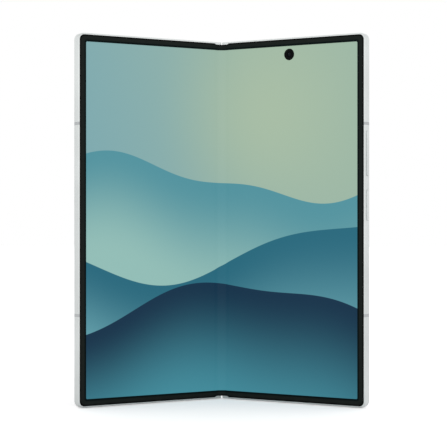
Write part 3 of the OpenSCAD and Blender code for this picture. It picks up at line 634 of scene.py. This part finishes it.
def build_shading(group, mesh):
    """Smooth faces, with steep edges kept sharp."""
    faces = group.nodes.new("GeometryNodeSetShadeSmooth")
    painted_edge_shade_and_glow = group.nodes.new("GeometryNodeSetShadeSmooth")
    painted_edge_shade_and_glow.domain = "EDGE"
    painted_edge_shade_and_glow.inputs["Shade Smooth"].default_value = False
    angle = group.nodes.new("GeometryNodeInputMeshEdgeAngle")
    steep = group.nodes.new("FunctionNodeCompare")
    steep.operation = "GREATER_THAN"
    steep.inputs[1].default_value = math.radians(SHADE_SHARP)
    group.links.new(angle.outputs["Unsigned Angle"], steep.inputs[0])
    group.links.new(steep.outputs[0], painted_edge_shade_and_glow.inputs["Selection"])
    group.links.new(mesh, faces.inputs["Geometry"])
    group.links.new(faces.outputs["Geometry"], painted_edge_shade_and_glow.inputs["Geometry"])
    return painted_edge_shade_and_glow.outputs["Geometry"]


WELD = node_group("weld", build_weld)
SHADING = node_group("shading", build_shading)


def dress_node(obj, slot):
    """Material, welded seams, rounded edges where they show, and smooth shading."""
    paint(obj, slot)
    weld = obj.modifiers.new("weld", "NODES")
    weld.node_group = WELD
    width = ROUNDED.get(obj.name)
    if width:
        flat = obj.modifiers.new("flat", "DECIMATE")
        flat.decimate_type = "DISSOLVE"
        flat.angle_limit = math.radians(FLAT_ANGLE)
        bevel = obj.modifiers.new("edge", "BEVEL")
        bevel.width = width * MM
        bevel.segments = 3
        bevel.limit_method = "ANGLE"
        bevel.angle_limit = math.radians(BEVEL_SHARP)
    shade = obj.modifiers.new("shading", "NODES")
    shade.node_group = SHADING


def dress_nodes():
    """Every CAD node that no piece has replaced."""
    slots = {p["node"]: p["material_slot"] for p in frame["record"]["subparts"]}
    for name, obj in frame["nodes"].items():
        if not obj.hide_render:
            dress_node(obj, slots[name])


# ---------- display ----------
# u of the sheet's columns: close together across the bending zone and just past it
SHEET_COLUMNS = [i * 0.2 for i in range(24)] + [8.0]
HOLE_POINTS = 48


def display_sheet(side, hole):
    """One half of the folding display, from the fold line to under the outer trim."""
    v0, v1 = BEZEL_T, BEZEL_T + DISPLAY_T
    inset = WALL + PACK_GAP
    radius = CORNER_R - inset
    z0, z1 = inset, BODY_H - inset
    shape = Shape()

    def vertex(u, v, z):
        return shape.vertex(bent(u, v, z, side), (u * side / (HALF_W * 2) + 0.5, z / BODY_H))

    section = ((v0, z0), (v0, z1), (v1, z1), (v1, z0))
    rows = [[vertex(u, v, z) for u in SHEET_COLUMNS] for v, z in section]
    for a, b in ((0, 1), (1, 2), (2, 3), (3, 0)):
        for i in range(len(SHEET_COLUMNS) - 1):
            shape.faces.append((rows[a][i], rows[b][i], rows[b][i + 1], rows[a][i + 1]))
    shape.faces.append(tuple(row[0] for row in rows))
    near = HALF_W - inset - radius
    outline = (arc(near, z0 + radius, radius, -90, 0, 8)
               + arc(near, z1 - radius, radius, 0, 90, 8))
    low, high = (rows[0], rows[3]), (rows[1], rows[2])
    front, back = ([low[k][-1]] + [vertex(u, v, z) for u, z in outline] + [high[k][-1]]
                   for k, v in enumerate((v0, v1)))
    for i in range(len(outline) + 1):
        shape.faces.append((front[i], front[i + 1], back[i + 1], back[i]))
    loops = ([front], [back])
    if hole:
        circle = circle_of(SELFIE_U, FEATURE_Z, SELFIE_R, HOLE_POINTS)
        rims = [[vertex(u, v, z) for u, z in circle] for v in (v0, v1)]
        shape.band(*rims)
        loops = ([front, rims[0]], [back, rims[1]])
    for face in loops:
        shape.fill(face, across=side)
    return shape


def bend_piece(obj, material):
    """Material for a piece already shaped along the bend, its placement baked into its mesh."""
    paint(obj, material)
    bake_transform(obj)


def make_display():
    for side, half, name, nodes in (
            (1, "main_half", "display_right", ("display_main", "display_fold_zone")),
            (-1, "cover_half", "display_left", ("display_cover",))):
        obj = display_sheet(side, side > 0).make(name)
        bend_piece(obj, "inner_display")
        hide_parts(*nodes)


# ---------- trims ----------
BEZEL_RADII = (0.16, 0.26)  # of its outer and inner edge
STRIP_RADIUS, STRIP_END = 0.12, BEZEL_OPEN - 0.05
STRIP_COLUMNS = [STRIP_END * i / 20 for i in range(21)]
TRIM_SHARP = 40


def make_bezel(side, body, node, name):
    """The raised trim around the display, its edges rounded."""
    inset = LIP + FIT
    outer = half_outline(inset, inset, BEZEL_OPEN, CORNER_R - inset, step=STEP)
    inner = half_outline(BEZEL_W, BEZEL_SIDE_W, BEZEL_OPEN, LIT_R)
    section = rounded_section(*BEZEL_RADII)
    rings, uvs = [], []
    for (uo, zo), (ui, zi) in zip(outer, inner):
        across = math.hypot(ui - uo, zi - zo)
        ring = []
        for edge, distance, v in section:
            t = distance / across if edge == 0 else 1 - distance / across
            ring.append(rest(uo + (ui - uo) * t, v, zo + (zi - zo) * t, side))
            uvs.append((t, zo / BODY_H))
        rings.append(ring)
    shape = Shape()
    shape.rings(rings)
    shape.uvs = uvs
    finish(shape.make(name, TRIM_SHARP), "black_trim", body, node)


def make_fold_strips(side, name):
    """The soft trim that bends over the hinge, at the top and bottom ends."""
    z0, z1 = WALL + STRIP_GAP, BEZEL_W
    v0, v1 = STRIP_V, STRIP_V + STRIP_T
    r = STRIP_RADIUS
    turns = quarter_turns(4, whole=True)
    outer = [(z0 + r * (1 - math.cos(a)), v0 + r * (1 - math.sin(a))) for a in turns]
    inner = [(z1 - r * (1 - math.cos(a)), v0 + r * (1 - math.sin(a))) for a in reversed(turns)]
    section = [(z0, v1)] + outer + inner + [(z1, v1)]
    shape = Shape()
    for flip in (False, True):
        shape.rings([[bent(u, v, BODY_H - z if flip else z, side) for z, v in section]
                     for u in STRIP_COLUMNS])
    shape.uvs = [((z - z0) / (z1 - z0), 0.5) for z, v in section] * len(STRIP_COLUMNS) * 2
    obj = shape.make(name, TRIM_SHARP)
    bend_piece(obj, "black_trim")
    if side > 0:
        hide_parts("bezel_fold_strips")


# ---------- cameras ----------
IRIS_R = (1.55, 1.25, 1.75)
# The bore of a rear camera: steps in from the barrel's rim, then steps out from the iris,
# each with its depth below the rim
BARREL_STEPS = [(0.0, 0.0), (0.35, 0.0), (0.35, 0.2), (0.9, 0.2), (0.95, 0.5), (1.5, 0.5)]
IRIS_STEPS = [(0.35, 0.8), (0.05, 0.8), (0.0, 1.25)]
CORE_R, BORE_DEPTH, TIP_R = 0.2, 1.25, 0.02


def dome(radius, foot, rise):
    """Profile of a front element: a quarter ellipse that ends in a tiny flat."""
    rim = [(radius * math.cos(a), foot + rise * math.sin(a)) for a in quarter_turns(8)]
    return rim + [(TIP_R, foot + rise)]


def around(middle, half):
    """The two ends of a range about its middle."""
    return (middle - half, middle + half)


def make_rear_cameras():
    """Module boxes with stepped barrels, iris rings and a domed front element each."""
    barrel = CAM_R - CAM_RING_W - 0.05
    half = CAM_BODY / 2
    body, domes = Shape(), Shape()
    for i, iris in enumerate(IRIS_R):
        z = CAM_Z - i * CAM_PITCH
        body.box(around(CAM_U, half), (V_CAVITY, V_GLASS - 0.02), around(z, half))
        body.lathe(CAM_U, z, [(barrel, V_GLASS - 0.3)]
                   + [(barrel - inwards, LENS_V - deep) for inwards, deep in BARREL_STEPS]
                   + [(iris + outwards, LENS_V - deep) for outwards, deep in IRIS_STEPS]
                   + [(CORE_R, LENS_V - BORE_DEPTH)])
        domes.lathe(CAM_U, z, dome(iris, LENS_V - 1.2, 0.75))
    finish(body.make("rear_camera_barrels"), "camera_black", "main_half", "rear_cameras")
    finish(domes.make("rear_camera_domes"), "lens_dome", "main_half", slot="lens_glass")


def make_selfie_camera():
    """The inner camera: a module box, a stepped ring up to the display's hole and a deep dome."""
    r = SELFIE_R - 0.1
    top = BEZEL_T + 0.05
    half = CAMERA_BODY / 2
    body, lens = Shape(), Shape()
    body.box(around(SELFIE_U, half), (V_CAVITY, V_PANEL), around(FEATURE_Z, half))
    floor = top + 0.5
    ring = [(r, V_CAVITY + 0.3), (r, top), (r - 0.25, top), (r - 0.3, top + 0.12)]
    bore = [(1.15, top + 0.12), (1.1, floor), (0.1, floor)]
    body.lathe(SELFIE_U, FEATURE_Z, ring + bore)
    lens.lathe(SELFIE_U, FEATURE_Z, dome(1.08, floor, -0.42))
    finish(body.make("selfie_camera_body"), "hole_black", "main_half", "selfie_camera",
           slot="camera_black")
    finish(lens.make("selfie_camera_lens"), "deep_dome", "main_half", slot="lens_glass")


# ---------- outer glass ----------
GLASS_EDGE_R = 0.3
OUTER_HOLE_R, OUTER_HOLE_POINTS = OUTER_CAM_R + 0.12, 36


def glass_outline(inset, u0, n=12):
    """Outline of the outer glass in u and z, drawn in by an inset."""
    radius = CORNER_R - GLASS_RIM - GLASS_GAP - inset
    lo, hi = GLASS_RIM + GLASS_GAP + inset, BODY_H - GLASS_RIM - GLASS_GAP - inset
    near = HALF_W - GLASS_RIM - GLASS_GAP - inset - radius
    return ([(u0 + inset, lo)] + arc(near, lo + radius, radius, -90, 0, n)
            + arc(near, hi - radius, radius, 0, 90, n) + [(u0 + inset, hi)])


def make_outer_glass():
    """The cover half's outer glass with rounded edges and an opening for its camera."""
    r = GLASS_EDGE_R
    levels = [(0.0, V_GLASS)] + [(r * (1 - math.cos(a)), BODY_T - r + r * math.sin(a))
                                 for a in quarter_turns(5, whole=True)]
    shape = Shape()
    loops = [[(u, v, z) for u, z in glass_outline(inset, LIP_END + GLASS_GAP)]
             for inset, v in levels]
    circle = circle_of(OUTER_CAM_U, FEATURE_Z, OUTER_HOLE_R, OUTER_HOLE_POINTS)

    def vertex(u, v, z):
        return shape.vertex(rest(u, v, z, -1), (u / HALF_W, z / BODY_H))

    rings = [[vertex(*p) for p in loop] for loop in loops]
    for a, b in zip(rings, rings[1:]):
        shape.band(a, b)
    below, above = ([vertex(u, v, z) for u, z in circle] for v in (V_GLASS, BODY_T))
    shape.band(below, above)
    shape.fill([rings[0], below], along=2)
    shape.fill([rings[-1], above], along=2)
    finish(shape.make("outer_cover_glass"), "outer_glass", "cover_half", "outer_glass")


def make_outer_camera():
    """The outer camera: a module box, a stepped ring up to the glass's hole and a dome."""
    half = CAMERA_BODY / 2
    r, top = OUTER_CAM_R, BODY_T - 0.04
    body, lens = Shape(), Shape()
    body.box(around(OUTER_CAM_U, half), (V_CAVITY, V_PANEL - 0.1), around(FEATURE_Z, half), -1)
    floor = top - 0.4
    ring = [(r, V_PANEL - 0.4), (r, top), (r - 0.16, top), (r - 0.2, top - 0.1)]
    bore = [(1.0, top - 0.1), (0.95, floor), (0.1, floor)]
    body.lathe(OUTER_CAM_U, FEATURE_Z, ring + bore, -1)
    lens.lathe(OUTER_CAM_U, FEATURE_Z, dome(0.94, floor, 0.34), -1)
    finish(body.make("outer_camera_body"), "camera_black", "cover_half", "outer_camera")
    finish(lens.make("outer_camera_lens"), "lens_dome", "cover_half", slot="lens_glass")


# ---------- ports ----------
CONTACTS, CONTACT_PITCH, CONTACT_HALF_W, CONTACT_HALF_T = 12, 0.5, 0.13, 0.02
CONTACT_Z, TONGUE_HALF_T = (1.2, 4.6), 0.35
SPEAKER_U, SPEAKER_V = (48.6, 59.6), (1.72, 3.05)
EARPIECE_U, EARPIECE_V = (21.4, 32.6), (V_CAVITY + 0.55, V_PANEL - 0.15)
CLOTH = (WALL + 0.02, WALL + 0.08)  # near and far face of the cloth, from the end of the phone


def make_usb_contacts():
    """Gold contacts on both faces of the socket's tongue."""
    shape = Shape()
    for i in range(CONTACTS):
        u = USB_U + (i - (CONTACTS - 1) / 2) * CONTACT_PITCH
        for v in around(USB_V, TONGUE_HALF_T):
            shape.box(around(u, CONTACT_HALF_W), around(v, CONTACT_HALF_T), CONTACT_Z)
    finish(shape.make("usb_contacts"), "gold", "main_half", slot="port_steel")


def make_speaker_cloth():
    """Dark acoustic cloth behind the loudspeaker holes and the earpiece slot."""
    below = Shape()
    below.box(SPEAKER_U, SPEAKER_V, CLOTH)
    finish(below.make("speaker_cloth"), "mesh_cloth", "main_half", slot="module_plastic")
    above = Shape()
    above.box(EARPIECE_U, EARPIECE_V, (BODY_H - CLOTH[1], BODY_H - CLOTH[0]), -1)
    finish(above.make("earpiece_cloth"), "mesh_cloth", "cover_half", slot="module_plastic")


# ---------- camera, floor and light ----------
SKY_LIGHT = 0.84  # the world's strength on surfaces
# What mirrors see, by the ray's direction: the range's two ends, then the brightness at each.
# away is Y, from the camera's side to behind the phone, and up is Z
GROUND_BY_AWAY = (-0.5, 0.1, 0.96, 0.82)
HORIZON, ABOVE_GROUND = (-0.2, 0.2), 1.03
DIMMED_BY_UP = (0.3, 0.8, 1.0, 0.8)
DIMMED_BY_AWAY = (-0.4, 0.6, 1.13, 1.0)
FLOOR_HALF, FLOOR_DROP, FLOOR_GLOW = 4.0, 0.0002, 0.3
SUN_SPREAD = 95.0


def make_camera():
    """The photograph's camera, level with the middle of the phone."""
    data = bpy.data.cameras.new("view")
    data.sensor_width = SENSOR_MM
    data.lens = FOCAL_PX * SENSOR_MM / IMAGE_PX
    data.shift_x = SHIFT_PX[0] / IMAGE_PX
    data.shift_y = SHIFT_PX[1] / IMAGE_PX
    data.clip_start, data.clip_end = 0.01, 20.0
    obj = bpy.data.objects.new("view", data)
    obj.location = (0.0, Y_SHIFT * MM - CAMERA_AWAY, BODY_H / 2 * MM)
    obj.rotation_euler = (math.radians(90), 0, 0)
    bpy.context.scene.collection.objects.link(obj)
    bpy.context.scene.camera = obj


def make_world():
    """White to the camera, plain light on surfaces, and for mirrors a studio that dims
    towards the ground and overhead and is brightest on the camera's side."""
    world = bpy.data.worlds.new("studio")
    world.use_nodes = True
    t = Tree(world.node_tree)
    sky = t.tree.nodes["Background"]
    sky.inputs["Color"].default_value = (1, 1, 1, 1)
    direction = t.new("ShaderNodeSeparateXYZ")
    t.put(direction.inputs[0], t.new("ShaderNodeTexCoord").outputs["Generated"])
    away, up = direction.outputs["Y"], direction.outputs["Z"]
    mirrored = t.ramp(up, *HORIZON, t.ramp(away, *GROUND_BY_AWAY), ABOVE_GROUND)
    mirrored = t.math("MULTIPLY", mirrored, t.ramp(up, *DIMMED_BY_UP))
    mirrored = t.math("MULTIPLY", mirrored, t.ramp(away, *DIMMED_BY_AWAY))
    ray = t.new("ShaderNodeLightPath").outputs
    shown = t.ramp(ray["Is Glossy Ray"], 0.0, 1.0, 1.0, mirrored)
    seen = t.math("MAXIMUM", ray["Is Camera Ray"], ray["Is Glossy Ray"])
    seen = t.math("MAXIMUM", seen, ray["Is Transmission Ray"])
    t.put(sky.inputs["Strength"], t.ramp(seen, 0.0, 1.0, SKY_LIGHT, shown))
    bpy.context.scene.world = world


def make_floor():
    """A white floor that keeps the phone's soft shadow."""
    g = Graph("studio_floor")
    mottle = g.noise(8.0, 2.0)
    g.set(Base_Color=g.mix(mottle, srgb(240, 240, 241), srgb(243, 243, 243)), Roughness=0.9,
          Specular_IOR_Level=0.1)
    path = g.new("ShaderNodeLightPath")
    glow = g.new("ShaderNodeEmission")
    glow.inputs["Color"].default_value = (1, 1, 1, 1)
    g.put(glow.inputs["Strength"], g.math("MULTIPLY", path.outputs["Is Camera Ray"], FLOOR_GLOW))
    both = g.new("ShaderNodeAddShader")
    out = g.tree.nodes["Material Output"]
    g.put(both.inputs[0], g.shader.outputs[0])
    g.put(both.inputs[1], glow.outputs[0])
    g.put(out.inputs["Surface"], both.outputs[0])
    mesh = bpy.data.meshes.new("studio_floor")
    size = FLOOR_HALF
    mesh.from_pydata([(-size, -size, 0), (size, -size, 0), (size, size, 0), (-size, size, 0)],
                     [], [(0, 1, 2, 3)])
    floor = bpy.data.objects.new("studio_floor", mesh)
    floor.location.z = -FLOOR_DROP
    bpy.context.scene.collection.objects.link(floor)
    mesh.materials.append(g.material)


def soft_sun(name, place, strength):
    """A wide, even light from the direction of a place, shining on the origin. It shades
    surfaces and casts shadows, and mirrors show the studio alone."""
    data = bpy.data.lights.new(name, "SUN")
    data.angle = math.radians(SUN_SPREAD)
    data.energy = strength
    obj = bpy.data.objects.new(name, data)
    obj.visible_glossy = False
    obj.location = place
    obj.rotation_euler = (-Vector(place)).to_track_quat("-Z", "Y").to_euler()
    bpy.context.scene.collection.objects.link(obj)


def make_lights():
    soft_sun("key_light", (-0.7, -1.1, 1.0), 0.4)
    soft_sun("fill_light", (0.9, -1.0, 0.6), 0.25)
    soft_sun("back_light", (0.3, 1.2, 0.9), 0.35)


def build():
    make_camera()
    make_world()
    make_floor()
    make_lights()
    make_display()
    make_bezel(1, "main_half", "bezel_main", "bezel_trim_right")
    make_bezel(-1, "cover_half", "bezel_cover", "bezel_trim_left")
    make_fold_strips(1, "fold_strips_right")
    make_fold_strips(-1, "fold_strips_left")
    make_rear_cameras()
    make_selfie_camera()
    make_outer_glass()
    make_outer_camera()
    make_usb_contacts()
    make_speaker_cloth()
    dress_nodes()
    bpy.context.scene.view_settings.view_transform = "Standard"


build()
